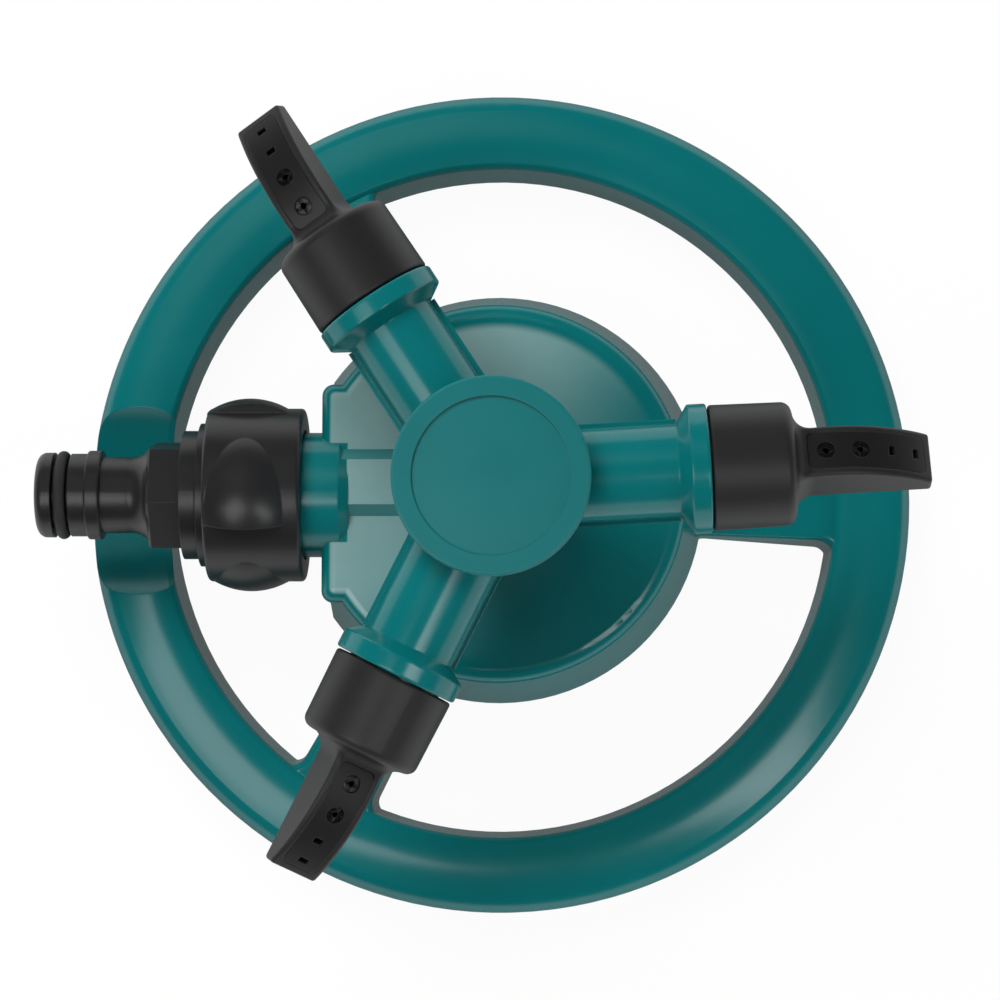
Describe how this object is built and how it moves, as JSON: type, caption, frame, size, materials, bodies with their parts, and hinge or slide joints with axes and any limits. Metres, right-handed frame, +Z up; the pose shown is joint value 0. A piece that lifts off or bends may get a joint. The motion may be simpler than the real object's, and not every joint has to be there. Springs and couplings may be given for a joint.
{
  "type": "rotating lawn sprinkler",
  "caption": "Lawn sprinkler with a spoked ring base, a spinning hub with radial arms, twistable curved spray nozzles, and a lobed swivel nut with a quick-connect hose nipple.",
  "frame": {"origin": "centre of the base ring, on the ground that it stands on", "axes": "+Z up along the rotor's axis, -X out along the hose inlet"},
  "size_m": [0.179, 0.172, 0.09],
  "materials": {
    "teal_plastic": "satin moulded",
    "black_plastic": "satin moulded",
    "jet_black_plastic": "moulded",
    "white_acetal": "moulded",
    "rubber": "plain",
    "spring_steel": "plain"
  },
  "bodies": {
    "base": {"base_frame": "teal_plastic", "pivot_stem": "white_acetal", "stem_seal": "rubber", "lower_thrust_washer": "white_acetal"},
    "rotor": {"rotor_body": "teal_plastic", "hub_bush": "white_acetal", "upper_thrust_washer": "white_acetal", "hub_cap": "teal_plastic", "cap_seal": "rubber", "nozzle_1_seal": "rubber", "nozzle_2_seal": "rubber", "nozzle_3_seal": "rubber"},
    "connector": {"hose_nipple": "black_plastic", "nipple_o_ring": "rubber", "hose_washer": "rubber", "nut_snap_ring": "spring_steel"},
    "nut": {"swivel_nut": "black_plastic"},
    "nozzle_1": {"nozzle_1_body": "black_plastic", "nozzle_1_jet_plate": "black_plastic", "nozzle_1_swirl_jets": "jet_black_plastic"},
    "nozzle_2": {"nozzle_2_body": "black_plastic", "nozzle_2_jet_plate": "black_plastic", "nozzle_2_swirl_jets": "jet_black_plastic"},
    "nozzle_3": {"nozzle_3_body": "black_plastic", "nozzle_3_jet_plate": "black_plastic", "nozzle_3_swirl_jets": "jet_black_plastic"}
  },
  "joints": [
    {"name": "rotor_spin", "type": "hinge", "parent": "base", "child": "rotor", "pos_m": [0, 0, 0.075], "axis": [0, 0, 1], "continuous": true},
    {"name": "nozzle_1_twist", "type": "hinge", "parent": "rotor", "child": "nozzle_1", "pos_m": [0.04992, 0.00288, 0.075], "axis": [0.9983, 0.0576, 0], "range_deg": [-27, 63]},
    {"name": "nozzle_2_twist", "type": "hinge", "parent": "rotor", "child": "nozzle_2", "pos_m": [-0.02745, 0.04179, 0.075], "axis": [-0.549, 0.8358, 0], "range_deg": [-29, 61]},
    {"name": "nozzle_3_twist", "type": "hinge", "parent": "rotor", "child": "nozzle_3", "pos_m": [-0.02247, -0.04467, 0.075], "axis": [-0.4493, -0.8934, 0], "range_deg": [-20, 70]},
    {"name": "connector_draw", "type": "slide", "parent": "base", "child": "connector", "axis": [-1, 0, 0], "range_m": [0, 0.00816]},
    {"name": "nut_turn", "type": "hinge", "parent": "connector", "child": "nut", "pos_m": [-0.05, 0, 0.033], "axis": [-1, 0, 0], "range_deg": [0, 1620]}
  ],
  "couplings": [
    {"joint": "nut_turn", "follows": "connector_draw", "rad_per_m": 3463.7}
  ]
}
